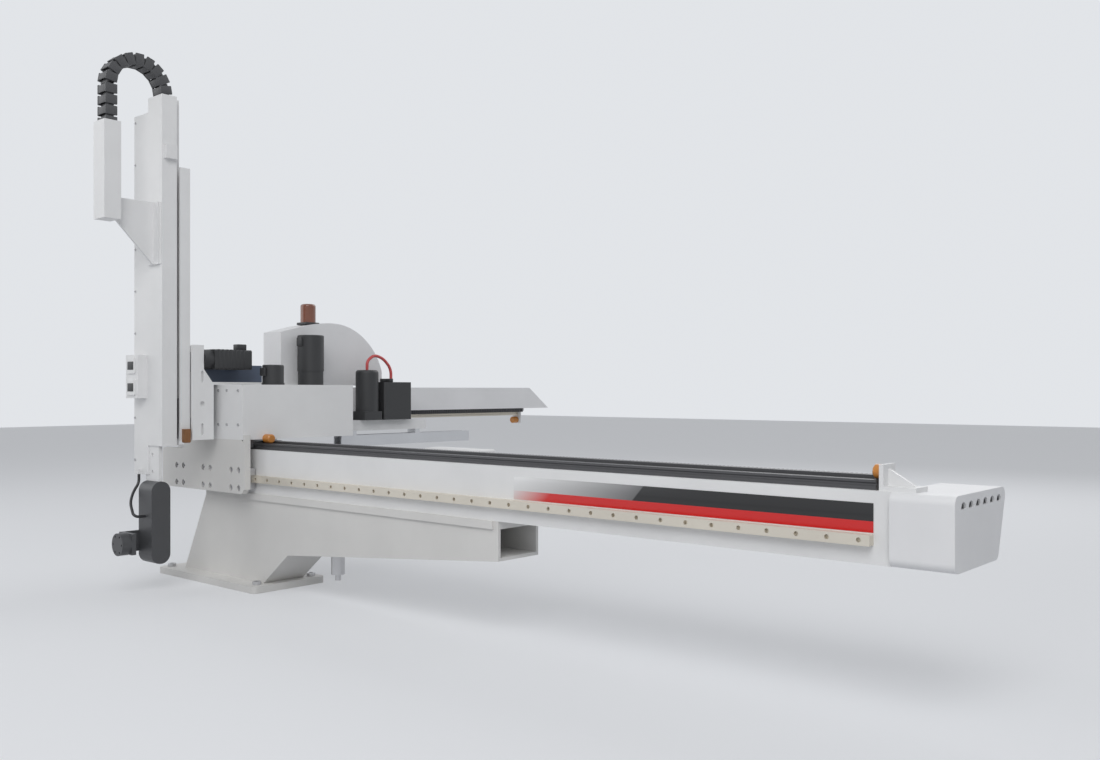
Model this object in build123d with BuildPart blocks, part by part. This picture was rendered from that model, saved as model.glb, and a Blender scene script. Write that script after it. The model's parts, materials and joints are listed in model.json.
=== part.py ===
from build123d import *
from math import acos, cos, pi, radians, sin, tan
import os

os.makedirs("parts", exist_ok=True)

# Injection moulding take-out robot. +X runs along the traverse beam, +Y to the ram tail, +Z up.
# The origin is the middle of the base plate's underside.

# Sprue base casting
foot_length = 542.0
foot_width = 250.0
foot_thick = 20.0
foot_bolt_x = 480.0
foot_bolt_y = 190.0
foot_bolt_radius = 9.0
foot_corner = 14.0
base_height = 281.0
base_half = 70.0
post_left_bottom = -201.0
post_left_top = -67.0
post_right_bottom = 236.0
post_right_top = 357.0
post_foot_fillet = 30.0
arm_root_z = 114.0
arm_tip_z = 187.0
arm_tip_x = 1191.0
arm_wall = 8.0
arm_bore_depth = 300.0
flange_proud = 6.0
flange_thick = 19.0
flange_setback = 14.0

# Jack bolt under the cantilever
jack_x = 498.0
jack_radius = 19.0
jack_length = 60.0
jack_tip_radius = 8.0
jack_tip_length = 17.0

# Traverse beam
beam_left = -250.0
beam_length = 2384.0
beam_half = 70.0
beam_height = 130.0
beam_wall = 8.0

# Size 20 linear guides: rail, counterbored every 60 mm, and blocks
rail_width = 20.0
rail_height = 18.0
guide_height = 30.0
guide_foot_gap = 4.6
guide_length = 77.0
guide_narrow = 44.0
guide_wide = 63.0
rail_gap = 0.3
rail_pitch = 60.0
rail_bore_radius = 4.75
rail_bore_depth = 8.5
lower_rail_up = 44.0
lower_rail_left = -219.0
lower_rail_right = 2101.0
upper_rail_y = -50.0

# Rack and pinions, module 3
gear_module = 3.0
gear_backlash = 0.5
pressure = radians(20)
rack_back_y = -26.0
rack_tip_y = 0.0
rack_height = 24.0
traverse_teeth = 16
ram_teeth = 30
traverse_motor_x = 150.0
pinion_lift = 2.0
pinion_face = 20.0
shaft_radius = 11.0
shaft_gap = 0.5

# End cover, stop and cable duct of the beam
cover_length = 112.0
cover_front = 12.0
cover_back = 110.0
cover_draft = 46.0
cover_wall = 4.0
cover_corner = 16.0
vent_count = 6
vent_pitch = 36.0
vent_radius = 12.0
vent_height = 106.0
stop_length = 66.0
stop_width = 52.0
stop_height = 46.0
stop_plate = 8.0
bumper_length = 19.0
bumper_radius = 13.0
duct_width = 98.0
duct_height = 92.0
duct_wall = 3.0
duct_top_down = 16.0
duct_left = -190.0
junction_left = 783.0
junction_length = 205.0
junction_width = 56.0
junction_height = 38.0

# Traverse carriage
plate_left = -256.0
plate_right = 205.0
plate_thick = 18.0
plate_step_x = -125.0
plate_step_down = 36.0
plate_bottom_lift = 1.0
plate_corner = 14.0
block_pitch = 155.0
block_first_x = -149.0
bolt_half_x = 20.0
bolt_half_z = 26.5
bolt_head_radius = 9.0
bolt_head_depth = 9.0
upper_block_half = 130.0
bridge_thick = 32.0
bridge_back = 283.0
sheet = 8.0
housing_height = 125.0
ram_opening_left = -72.0
ram_opening_right = 43.0
top_thick = 5.0
carriage_bumper_length = 30.0
edge_bar_width = 10.0
edge_bar_top = 14.0

# Servo motors and their reducers
traverse_reducer_radius = 32.0
traverse_motor_radius = 34.0
traverse_motor_height = 61.0
ram_reducer_radius = 40.0
ram_reducer_height = 45.0
ram_motor_radius = 42.0
ram_motor_height = 116.0
ram_motor_y = 208.0
motor_ring = 6.0
motor_groove = 2.0
arm_motor_side = 60.0
arm_motor_length = 126.0
arm_motor_x = 60.0
arm_motor_z_rise = 398.0
arm_reducer_length = 30.0
arm_reducer_radius = 29.0

# Dome cover and lamp
dome_left = -62.0
dome_width = 97.0
dome_front = 128.0
dome_length = 415.0
dome_height = 204.0
dome_wall = 3.0
lamp_x = -13.0
lamp_y = 267.0
lamp_radius = 25.0
lamp_height = 63.0

# Rear bracket, its tray and the air unit
rear_bar_left = 95.0
rear_bar_width = 40.0
rear_bar_back = 660.0
rear_bar_height = 35.0
rear_bar_lift = 14.0
rear_bar_wall = 4.0
rear_tray_back = 872.0
rear_tray_height = 36.0
rear_tray_gap = 14.0
air_tank_y = 405.0
air_tank_radius = 38.0
air_base_height = 29.0
air_tank_height = 138.0
air_valve_front = 452.0
air_valve_length = 120.0
air_valve_height = 127.0
air_valve_width = 70.0
hose_radius = 5.0

# Ram
ram_left = -60.0
ram_width = 80.0
ram_height = 87.0
ram_wall = 6.0
ram_front = -170.0
ram_tail = 1290.0
ram_rail_x = -15.0
ram_rack_height = 15.0
ram_rack_width = 21.0
ram_rack_down = 4.0
ram_cover_left = -70.0
ram_cover_right = 40.0
ram_cover_lift = 11.0
ram_cover_top = 6.0
ram_cover_wall = 3.0
ram_tail_top = 1310.0
ram_tail_bottom = 1425.0
ram_block_front = -40.0
ram_block_back = 205.0
ram_stop_plate = 8.0
ram_stop_drop = 50.0
ram_bumper_length = 26.0
shelf_gap = 2.0
shelf_thick = 6.0
shelf_back = 64.0
box_left = -50.0
box_width = 75.0
box_front = -140.0
box_height = 53.0

# Arm mount on the front of the ram
mount_left = -95.0
mount_width = 170.0
mount_thick = 15.0
mount_bottom_rise = 159.0
mount_top_rise = 439.0
side_thick = 8.0
side_front = -209.0
side_back = -140.0
side_slope = 44.0
side_hole_radius = 7.5
side_slot_length = 34.0
side_slot_width = 8.0

# Size 15 guides and the telescopic arm
arm_rail_width = 15.0
arm_rail_height = 13.0
arm_guide_height = 24.0
arm_guide_foot_gap = 4.3
arm_guide_width = 34.0
arm_guide_length = 59.0
arm_x = 30.0
stage_width = 80.0
stage_1_depth = 32.0
stage_1_bottom_rise = 158.0
stage_1_top_rise = 956.0
stage_1_wall = 6.0
rail_inset = 6.0
stage_2_depth = 46.0
stage_2_wall = 4.0
stage_2_bottom_rise = 144.0
stage_2_top_rise = 1159.0
rib_width = 36.0
rib_depth = 12.0
front_cover_left = -92.0
front_cover_bottom_rise = 59.0
front_cover_top_rise = 1118.0
front_cover_return = 47.0
gauge_bottom_rise = 282.0
gauge_height = 127.0
gauge_width = 70.0
gauge_depth = 28.0
gauge_face = 46.0
side_stop_z_rise = 974.0
side_stop_height = 40.0
side_stop_depth = 14.0

# Cable chain of the arm
chain_radius = 82.0
chain_thick = 34.0
chain_width = 50.0
chain_spring_z_rise = 1164.0
chain_pitch = 30.0
chain_neck = 3.0
chain_groove = 4.0
chain_inner_bottom_rise = 319.0
chain_outer_bottom_rise = 799.0
anchor_thick = 12.0
anchor_left = -60.0
anchor_width = 40.0
tray_wall = 4.0
tray_side_gap = 3.0
tray_floor = 15.0
tray_height = 273.0
tray_web_thick = 8.0
tray_web_top_rise = 849.0
tray_web_bottom_rise = 669.0

# Wrist
wrist_left = -25.0
wrist_width = 75.0
wrist_depth = 58.0
wrist_front = -318.0
wrist_bottom_rise = -197.0
wrist_top_rise = 41.0
wrist_plate_left = -30.0
wrist_plate_width = 75.0
wrist_plate_thick = 10.0
wrist_plate_overlap = 45.0
pivot_z_rise = -133.0
pivot_radius = 10.0
pivot_gap = 0.1
pivot_depth = 20.0
bracket_thick = 8.0
bracket_reach = 72.0
bracket_radius = 30.0
cross_thick = 12.0
flange_x = 12.0
flange_radius = 32.0
flange_length = 28.0
flange_bolt_circle = 25.0
flange_bolt_radius = 3.0
flange_bolts = 6
fitting_size = 14.0
wrist_hole_pitch = 50.0
wrist_hole_radius = 5.0
arm_hose_radius = 4.0

# Heights and faces that follow from the sizes above; a rise counts from the beam's underside
beam_top = base_height + beam_height
mount_bottom = base_height + mount_bottom_rise
mount_top = base_height + mount_top_rise
arm_motor_z = base_height + arm_motor_z_rise
stage_1_bottom = base_height + stage_1_bottom_rise
stage_1_top = base_height + stage_1_top_rise
stage_2_bottom = base_height + stage_2_bottom_rise
stage_2_top = base_height + stage_2_top_rise
front_cover_bottom = base_height + front_cover_bottom_rise
front_cover_top = base_height + front_cover_top_rise
gauge_bottom = base_height + gauge_bottom_rise
side_stop_z = base_height + side_stop_z_rise
chain_spring_z = base_height + chain_spring_z_rise
chain_inner_bottom = base_height + chain_inner_bottom_rise
chain_outer_bottom = base_height + chain_outer_bottom_rise
tray_web_top = base_height + tray_web_top_rise
tray_web_bottom = base_height + tray_web_bottom_rise
wrist_bottom = base_height + wrist_bottom_rise
wrist_top = base_height + wrist_top_rise
pivot_z = base_height + pivot_z_rise
beam_right = beam_left + beam_length
lower_rail_z = base_height + lower_rail_up
block_face_y = -beam_half - guide_height
plate_front_y = block_face_y - plate_thick
bridge_bottom = beam_top + guide_height
bridge_top = bridge_bottom + bridge_thick
ram_bottom = bridge_top + guide_height
ram_top = ram_bottom + ram_height
housing_top = bridge_top + housing_height
top_face = housing_top + top_thick
traverse_radius = gear_module * traverse_teeth / 2
ram_radius = gear_module * ram_teeth / 2
traverse_motor_y = rack_tip_y - gear_module + traverse_radius
ram_rack_tip = ram_left + ram_width + ram_rack_width
ram_motor_x = ram_rack_tip - gear_module + ram_radius
mount_front = ram_front - mount_thick
mount_right = mount_left + mount_width
stage_1_back = mount_front - arm_guide_height
stage_1_front = stage_1_back - stage_1_depth
stage_1_web = stage_1_back - stage_1_wall
stage_left = arm_x - stage_width / 2
stage_right = arm_x + stage_width / 2
rib_back = stage_1_web - arm_guide_height
stage_2_back = rib_back - rib_depth
stage_2_front = stage_2_back - stage_2_depth
chain_inner_y = stage_2_back - stage_2_depth / 2
chain_mid_y = chain_inner_y - chain_radius
chain_outer_y = chain_mid_y - chain_radius
pivot_y = wrist_front + wrist_depth / 2
rack_pitch = gear_module * pi
cover_top = ram_top + ram_cover_top


def save(piece, name):
    piece.part.label = name
    export_step(piece.part, f"parts/{name}.step")


def slab(x0, x1, y0, y1, mode=Mode.ADD):
    with Locations(((x0 + x1) / 2, (y0 + y1) / 2)):
        Rectangle(x1 - x0, y1 - y0, mode=mode)


def rail_section(width, height):
    waist = width / 2 - width / 8
    with BuildSketch(mode=Mode.PRIVATE) as section:
        with BuildLine():
            Polyline(
                (-width / 2, 0), (width / 2, 0), (width / 2, height * 0.3),
                (waist, height * 0.45), (waist, height * 0.62),
                (width / 2, height * 0.75), (width / 2, height),
                (-width / 2, height), (-width / 2, height * 0.75),
                (-waist, height * 0.62), (-waist, height * 0.45),
                (-width / 2, height * 0.3), close=True,
            )
        make_face()
    return section.sketch


def guide_block(name, plane, width, length, height, foot_gap, slot_width, slot_height):
    # The plane lies on the mounting face and its normal points away from the rail.
    body = height - foot_gap
    with BuildPart() as block:
        with BuildSketch(plane):
            Rectangle(length, width)
        extrude(amount=-body)
        with BuildSketch(plane.offset(-body)):
            Rectangle(length, slot_width)
        extrude(amount=slot_height - foot_gap, mode=Mode.SUBTRACT)
        chamfer(block.faces().sort_by(Axis(plane.origin, plane.z_dir))[-1].edges(), 1.0)
    save(block, name)


def rack_outline(count, depth):
    # Teeth along local x with their tips on y = 0, the back at y = -depth.
    half_tip = gear_module * pi / 4 - gear_module * tan(pressure)
    root = -2.25 * gear_module
    half_root = half_tip - root * tan(pressure)
    points = [(0, -depth)]
    points.append((0, root))
    for tooth in range(count):
        middle = (tooth + 0.5) * rack_pitch
        points.append((middle - half_root, root))
        points.append((middle - half_tip, 0))
        points.append((middle + half_tip, 0))
        points.append((middle + half_root, root))
    points.append((count * rack_pitch, root))
    points.append((count * rack_pitch, -depth))
    return points


def pinion_points(teeth):
    # Involute flanks through root, pitch and tip circles, thinned by the backlash.
    pitch_radius = gear_module * teeth / 2
    base_radius = pitch_radius * cos(pressure)
    start = pi / (2 * teeth) + tan(pressure) - pressure - gear_backlash / (2 * pitch_radius)

    def half_angle(radius):
        slope = acos(min(1.0, base_radius / radius))
        return start - tan(slope) + slope

    root_radius = pitch_radius - 1.25 * gear_module
    tip_radius = pitch_radius + gear_module
    thin = gear_backlash / root_radius
    flank = [(root_radius, half_angle(root_radius) - thin)]
    flank.append((pitch_radius, half_angle(pitch_radius)))
    flank.append((tip_radius, half_angle(tip_radius)))
    points = []
    for tooth in range(teeth):
        middle = 2 * pi * tooth / teeth
        for radius, turn in flank:
            points.append((radius * cos(middle - turn), radius * sin(middle - turn)))
        for radius, turn in reversed(flank):
            points.append((radius * cos(middle + turn), radius * sin(middle + turn)))
    return points


def pinion(name, x, y, z, teeth, turn, face, shaft_top):
    with BuildPart() as gear:
        with BuildSketch(Plane.XY.offset(z)):
            with Locations(Location((x, y, 0), (0, 0, turn))):
                Polygon(*pinion_points(teeth), align=None)
        extrude(amount=face)
        with BuildSketch(Plane.XY.offset(z + face)):
            with Locations((x, y)):
                Circle(shaft_radius)
        extrude(amount=shaft_top - z - face)
    save(gear, name)


def chain_run(name, y, bottom, top):
    # Links of one straight run, parted by grooves on both faces of the chain.
    count = max(2, round((top - bottom) / chain_pitch))
    step = (top - bottom) / count
    with BuildPart() as run:
        with BuildSketch(Plane.XY.offset(bottom)):
            with Locations((arm_x, y)):
                Rectangle(chain_width, chain_thick - 2 * chain_neck)
        extrude(amount=top - bottom)
        for link in range(count):
            with BuildSketch(Plane.XY.offset(bottom + link * step + chain_groove / 2)):
                with Locations((arm_x, y)):
                    Rectangle(chain_width, chain_thick)
            extrude(amount=step - chain_groove)
    save(run, name)


def smooth_hose(name, points, radius):
    turns = []
    for before, corner, after in zip(points, points[1:], points[2:]):
        first = Vector(*corner) - Vector(*before)
        second = Vector(*after) - Vector(*corner)
        half = radians(first.get_angle(second)) / 2
        turns.append(0.45 * min(first.length, second.length) / tan(half))
    print(name, "bend radii", [round(value, 1) for value in turns])
    with BuildPart() as hose:
        with BuildLine() as route:
            FilletPolyline(*points, radius=turns)
        with BuildSketch(Plane(route.line @ 0, z_dir=route.line % 0)):
            Circle(radius)
        sweep()
    save(hose, name)


# Sprue base: foot plate, tapered post and cantilever cast in one
with BuildPart() as sprue_base:
    with BuildSketch():
        RectangleRounded(foot_length, foot_width, foot_corner)
        with GridLocations(foot_bolt_x, foot_bolt_y, 2, 2):
            Circle(foot_bolt_radius, mode=Mode.SUBTRACT)
    extrude(amount=foot_thick)
    with BuildSketch(Plane.XZ) as post_side:
        with BuildLine():
            Polyline(
                (post_left_bottom, foot_thick), (post_right_bottom, foot_thick),
                (post_right_top, arm_root_z), (arm_tip_x, arm_tip_z),
                (arm_tip_x, base_height), (post_left_top, base_height), close=True,
            )
        make_face()
        slab(post_left_bottom - post_foot_fillet, post_right_bottom + post_foot_fillet,
             foot_thick / 2, foot_thick)
        post_roots = (
            post_side.vertices()
            .filter_by_position(Axis.Z, foot_thick - 1, foot_thick + 1)
            .filter_by_position(Axis.X, post_left_bottom - 1, post_right_bottom + 1)
        )
        fillet(post_roots, post_foot_fillet / 2)
    extrude(amount=base_half, both=True)
    with BuildSketch(Plane.XY.offset(base_height - flange_thick)):
        slab(post_left_top, arm_tip_x - flange_setback,
             -base_half - flange_proud, base_half + flange_proud)
    extrude(amount=flange_thick)
    with BuildSketch(Plane.YZ.offset(arm_tip_x)):
        slab(-base_half + arm_wall, base_half - arm_wall,
             arm_tip_z + arm_wall, base_height - flange_thick)
    extrude(amount=-arm_bore_depth, mode=Mode.SUBTRACT)
save(sprue_base, "sprue_base")

# Underside height of the cantilever above a given x
arm_slope = (arm_tip_z - arm_root_z) / (arm_tip_x - post_right_top)
jack_top = arm_root_z + arm_slope * (jack_x + jack_radius - post_right_top)

# Jack bolt: its head is cut along the slope of the cantilever's underside
with BuildPart() as jack_bolt:
    with BuildSketch(Plane.XY.offset(jack_top - jack_length)):
        with Locations((jack_x, 0)):
            Circle(jack_radius)
    extrude(amount=jack_length)
    with BuildSketch(Plane.XY.offset(jack_top - jack_length)):
        with Locations((jack_x, 0)):
            Circle(jack_tip_radius)
    extrude(amount=-jack_tip_length)
    with BuildSketch(Plane.XZ):
        with BuildLine():
            Polyline(
                (post_right_top, arm_root_z), (arm_tip_x, arm_tip_z),
                (arm_tip_x, base_height), (post_right_top, base_height), close=True,
            )
        make_face()
    extrude(amount=base_half, both=True, mode=Mode.SUBTRACT)
save(jack_bolt, "jack_bolt")

# Traverse beam: box section with a closed left end
with BuildPart() as traverse_beam:
    with BuildSketch(Plane.YZ.offset(beam_left)):
        slab(-beam_half, beam_half, base_height, beam_top)
    extrude(amount=beam_length)
    with BuildSketch(Plane.YZ.offset(beam_right)):
        slab(-beam_half + beam_wall, beam_half - beam_wall,
             base_height + beam_wall, beam_top - beam_wall)
    extrude(amount=beam_wall - beam_length, mode=Mode.SUBTRACT)
save(traverse_beam, "traverse_beam")

# Lower rail on the front face of the beam
rail_length = lower_rail_right - lower_rail_left
rail_holes = int((rail_length - rail_pitch / 3) // rail_pitch) + 1
lower_plane = Plane((lower_rail_left, -beam_half, lower_rail_z), x_dir=(0, 0, 1), z_dir=(1, 0, 0))
with BuildPart() as lower_rail:
    with BuildSketch(lower_plane):
        add(rail_section(rail_width, rail_height))
    extrude(amount=rail_length)
    with BuildSketch(Plane.XZ.offset(beam_half + rail_height)):
        for hole in range(rail_holes):
            with Locations((lower_rail_left + rail_pitch / 3 + hole * rail_pitch, lower_rail_z)):
                RegularPolygon(rail_bore_radius, 8)
    extrude(amount=-rail_bore_depth, mode=Mode.SUBTRACT)
save(lower_rail, "lower_rail")

# Upper rail on the top face of the beam
with BuildPart() as upper_rail:
    with BuildSketch(Plane.YZ.offset(lower_rail_left)):
        with Locations((upper_rail_y, beam_top)):
            add(rail_section(rail_width, rail_height))
    extrude(amount=rail_length)
save(upper_rail, "upper_rail")

# Traverse rack beside the upper rail, teeth to the back
traverse_count = int(rail_length // rack_pitch)
rack_shift = traverse_motor_x % rack_pitch
rack_start = rack_shift + rack_pitch * int((lower_rail_left - rack_shift) // rack_pitch + 1)
with BuildPart() as traverse_rack:
    with BuildSketch(Plane.XY.offset(beam_top)):
        with Locations((rack_start, rack_tip_y)):
            Polygon(*rack_outline(traverse_count, rack_tip_y - rack_back_y), align=None)
    extrude(amount=rack_height)
save(traverse_rack, "traverse_rack")

# End cover: drafted shell with scalloped vents under its top edge
with BuildPart() as end_cover:
    with BuildSketch(Plane.YZ.offset(beam_right)) as cover_face:
        with BuildLine():
            Polyline(
                (-beam_half - cover_front, base_height),
                (beam_half + cover_back - cover_draft, base_height),
                (beam_half + cover_back, beam_top),
                (-beam_half - cover_front, beam_top), close=True,
            )
        make_face()
        fillet(cover_face.vertices().group_by(Axis.Z)[0], cover_corner)
    extrude(amount=cover_length)
    mouth = end_cover.faces().sort_by(Axis.X)[0]
    offset(amount=-cover_wall, openings=mouth)
    cover_right = beam_right + cover_length
    with BuildSketch(Plane.YZ.offset(cover_right)):
        vent_middle = (cover_back - cover_front) / 2
        for vent in range(vent_count):
            vent_y = vent_middle + (vent - (vent_count - 1) / 2) * vent_pitch
            with Locations((vent_y, base_height + vent_height)):
                Circle(vent_radius)
                with Locations((0, -vent_radius / 2)):
                    Rectangle(2 * vent_radius, vent_radius, mode=Mode.SUBTRACT)
    extrude(amount=-cover_wall, mode=Mode.SUBTRACT)
save(end_cover, "end_cover")

# Stop bracket with its gusset, and the urethane bumper on it
stop_x = lower_rail_right + 8.0
stop_y = upper_rail_y + rail_width / 2
with BuildPart() as stop_bracket:
    with BuildSketch(Plane.XZ.offset(-stop_y + stop_width / 2)):
        with BuildLine():
            Polyline(
                (stop_x, beam_top), (stop_x + stop_length, beam_top),
                (stop_x + stop_length, beam_top + stop_plate),
                (stop_x + stop_plate, beam_top + stop_plate),
                (stop_x + stop_plate, beam_top + stop_height),
                (stop_x, beam_top + stop_height), close=True,
            )
        make_face()
    extrude(amount=-stop_width)
    with BuildSketch(Plane.XZ.offset(-stop_y)):
        with BuildLine():
            Polyline(
                (stop_x + stop_plate, beam_top + stop_plate),
                (stop_x + stop_length - stop_plate, beam_top + stop_plate),
                (stop_x + stop_plate, beam_top + stop_height - stop_plate), close=True,
            )
        make_face()
    extrude(amount=stop_plate / 2, both=True)
save(stop_bracket, "stop_bracket")

stop_bumper_z = beam_top + stop_height - bumper_radius - 1.0
with BuildPart() as stop_bumper:
    with BuildSketch(Plane.YZ.offset(stop_x)):
        with Locations((stop_y, stop_bumper_z)):
            Circle(bumper_radius)
    extrude(amount=-bumper_length)
    chamfer(stop_bumper.edges().group_by(Axis.X)[0], 3.0)
save(stop_bumper, "stop_bumper")

# Cable duct along the back of the beam, with the junction box on it
duct_top = beam_top - duct_top_down
duct_bottom = duct_top - duct_height
with BuildPart() as cable_duct:
    with BuildSketch(Plane.YZ.offset(duct_left)):
        slab(beam_half, beam_half + duct_width, duct_bottom, duct_top)
        slab(beam_half + duct_wall, beam_half + duct_width - duct_wall,
             duct_bottom + duct_wall, duct_top - duct_wall, mode=Mode.SUBTRACT)
    extrude(amount=beam_right - duct_left - duct_wall)
    with BuildSketch(Plane.XY.offset(duct_top)):
        slab(junction_left, junction_left + junction_length,
             beam_half + duct_wall, beam_half + duct_wall + junction_width)
    extrude(amount=junction_height)
    chamfer(cable_duct.faces().sort_by(Axis.Z)[-1].edges(), 3.0)
save(cable_duct, "cable_duct")

# Carriage plate with counterbored bolt groups over the lower blocks
plate_bottom = base_height + plate_bottom_lift
block_xs = [block_first_x + number * block_pitch for number in range(3)]
with BuildPart() as carriage_plate:
    with BuildSketch(Plane.XZ.offset(-block_face_y)) as plate_face:
        with BuildLine():
            Polyline(
                (plate_left, plate_bottom), (plate_right, plate_bottom),
                (plate_right, bridge_bottom), (plate_step_x, bridge_bottom),
                (plate_step_x, bridge_bottom - plate_step_down),
                (plate_left, bridge_bottom - plate_step_down), close=True,
            )
        make_face()
        fillet(plate_face.vertices().group_by(Axis.Z)[0], plate_corner)
    extrude(amount=plate_thick)
    with BuildSketch(Plane.XZ.offset(-plate_front_y)):
        for block_x in block_xs:
            with Locations((block_x, lower_rail_z)):
                with GridLocations(2 * bolt_half_x, 2 * bolt_half_z, 2, 2):
                    Circle(bolt_head_radius)
    extrude(amount=-bolt_head_depth, mode=Mode.SUBTRACT)
    with BuildSketch(Plane.XY.offset(plate_bottom + plate_corner)):
        slab(plate_right, plate_right + edge_bar_width, plate_front_y, block_face_y)
    extrude(amount=bridge_bottom + edge_bar_top - plate_bottom - plate_corner)
save(carriage_plate, "carriage_plate")

slot_20 = rail_width + 2 * rail_gap
for number, block_x in enumerate(block_xs):
    guide_block(
        f"lower_block_{number + 1}",
        Plane((block_x, block_face_y, lower_rail_z), x_dir=(1, 0, 0), z_dir=(0, -1, 0)),
        guide_wide, guide_length, guide_height, guide_foot_gap, slot_20,
        rail_height + rail_gap,
    )
for number, side in enumerate((-1, 1)):
    guide_block(
        f"upper_block_{number + 1}",
        Plane((side * upper_block_half, upper_rail_y, bridge_bottom)),
        guide_narrow, guide_length, guide_height, guide_foot_gap, slot_20,
        rail_height + rail_gap,
    )

# Bridge plate across the beam, bored for the traverse shaft
with BuildPart() as carriage_bridge:
    with BuildSketch(Plane.XY.offset(bridge_bottom)):
        slab(plate_left, plate_right, plate_front_y, bridge_back)
        with Locations((traverse_motor_x, traverse_motor_y)):
            Circle(shaft_radius + shaft_gap, mode=Mode.SUBTRACT)
    extrude(amount=bridge_thick)
save(carriage_bridge, "carriage_bridge")

# Sheet housing round the ram drive, open where the ram goes through
with BuildPart() as carriage_housing:
    with BuildSketch(Plane.XY.offset(bridge_top)):
        slab(plate_left, plate_right, plate_front_y, bridge_back)
        slab(plate_left + sheet, plate_right - sheet,
             plate_front_y + sheet, bridge_back - sheet, mode=Mode.SUBTRACT)
    extrude(amount=housing_height)
    with BuildSketch(Plane.XZ.offset(-bridge_back)):
        slab(ram_opening_left, ram_opening_right, bridge_top, housing_top)
    extrude(amount=bridge_back - plate_front_y, mode=Mode.SUBTRACT)
save(carriage_housing, "carriage_housing")

# Top plate with the two motor seats
with BuildPart() as top_plate:
    with BuildSketch(Plane.XY.offset(housing_top)):
        slab(plate_left, plate_right, plate_front_y, bridge_back)
        with Locations((traverse_motor_x, traverse_motor_y)):
            Circle(traverse_reducer_radius + shaft_gap, mode=Mode.SUBTRACT)
        with Locations((ram_motor_x, ram_motor_y)):
            Circle(shaft_radius + shaft_gap, mode=Mode.SUBTRACT)
    extrude(amount=top_thick)
save(top_plate, "top_plate")

with BuildPart() as carriage_bumper:
    with BuildSketch(Plane.YZ.offset(plate_right)):
        with Locations((stop_y, stop_bumper_z)):
            Circle(bumper_radius)
    extrude(amount=carriage_bumper_length)
    chamfer(carriage_bumper.edges().group_by(Axis.X)[-1], 3.0)
save(carriage_bumper, "carriage_bumper")

# Traverse servo: reducer standing on the bridge, motor above the top plate
with BuildPart() as traverse_servo:
    with BuildSketch(Plane.XY.offset(bridge_top)):
        with Locations((traverse_motor_x, traverse_motor_y)):
            Circle(traverse_reducer_radius)
    extrude(amount=top_face - bridge_top)
    with BuildSketch(Plane.XY.offset(top_face)):
        with Locations((traverse_motor_x, traverse_motor_y)):
            Circle(traverse_motor_radius)
    extrude(amount=motor_ring)
    with BuildSketch(Plane.XY.offset(top_face + motor_ring)):
        with Locations((traverse_motor_x, traverse_motor_y)):
            Circle(traverse_motor_radius - motor_groove)
    extrude(amount=traverse_motor_height - motor_ring)
    fillet(traverse_servo.edges().group_by(Axis.Z)[-1], 4.0)
save(traverse_servo, "traverse_servo")

# Ram servo: reducer and motor standing on the top plate
with BuildPart() as ram_servo:
    with BuildSketch(Plane.XY.offset(top_face)):
        with Locations((ram_motor_x, ram_motor_y)):
            Circle(ram_reducer_radius)
    extrude(amount=ram_reducer_height)
    with BuildSketch(Plane.XY.offset(top_face + ram_reducer_height)):
        with Locations((ram_motor_x, ram_motor_y)):
            Circle(ram_motor_radius)
    extrude(amount=ram_motor_height)
    fillet(ram_servo.edges().group_by(Axis.Z)[-1], 4.0)
save(ram_servo, "ram_servo")

pinion(
    "traverse_pinion", traverse_motor_x, traverse_motor_y, beam_top + pinion_lift,
    traverse_teeth, -90, pinion_face, bridge_top - shaft_gap,
)

ram_rack_bottom = ram_bottom - ram_rack_down
pinion_bottom = ram_rack_bottom + 1.0
pinion(
    "ram_pinion", ram_motor_x, ram_motor_y, pinion_bottom,
    ram_teeth, 180, ram_rack_height - 2.0, top_face - shaft_gap,
)

# Dome cover with its curved back, standing on the top plate and open below
dome_top = top_face + dome_height
dome_back = dome_front + dome_length
with BuildPart() as dome_cover:
    with BuildSketch(Plane.YZ.offset(dome_left)):
        with BuildLine():
            front_edge = Line((dome_front, top_face), (dome_front, top_face + 0.84 * dome_height))
            crown = Spline(
                front_edge @ 1,
                (dome_front + 0.15 * dome_length, top_face + 0.915 * dome_height),
                (dome_front + 0.36 * dome_length, dome_top),
                (dome_front + 0.62 * dome_length, top_face + 0.985 * dome_height),
                (dome_front + 0.87 * dome_length, top_face + 0.686 * dome_height),
                (dome_back, top_face + 0.23 * dome_height),
            )
            Line(crown @ 1, (dome_back, top_face))
            Line((dome_back, top_face), front_edge @ 0)
        make_face()
    extrude(amount=dome_width)
    offset(amount=-dome_wall, openings=dome_cover.faces().sort_by(Axis.Z)[0])
save(dome_cover, "dome_cover")

dome_box = dome_cover.part.bounding_box()
with BuildPart() as signal_lamp:
    with BuildSketch(Plane.XY.offset(dome_box.max.Z)):
        with Locations((lamp_x, lamp_y)):
            Circle(lamp_radius)
    extrude(amount=lamp_height)
    fillet(signal_lamp.edges().group_by(Axis.Z)[-1], 8.0)
save(signal_lamp, "signal_lamp")

# Rear bracket bar behind the housing
rear_bar_top = bridge_top + rear_bar_lift
rear_bar_bottom = rear_bar_top - rear_bar_height
rear_bar_right = rear_bar_left + rear_bar_width
with BuildPart() as rear_bracket:
    with BuildSketch(Plane.XZ.offset(-bridge_back)):
        slab(rear_bar_left, rear_bar_right, rear_bar_bottom, rear_bar_top)
        slab(rear_bar_left + rear_bar_wall, rear_bar_right - rear_bar_wall,
             rear_bar_bottom - rear_bar_wall, rear_bar_top - rear_bar_wall, mode=Mode.SUBTRACT)
    extrude(amount=bridge_back - rear_bar_back)
save(rear_bracket, "rear_bracket")

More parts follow.
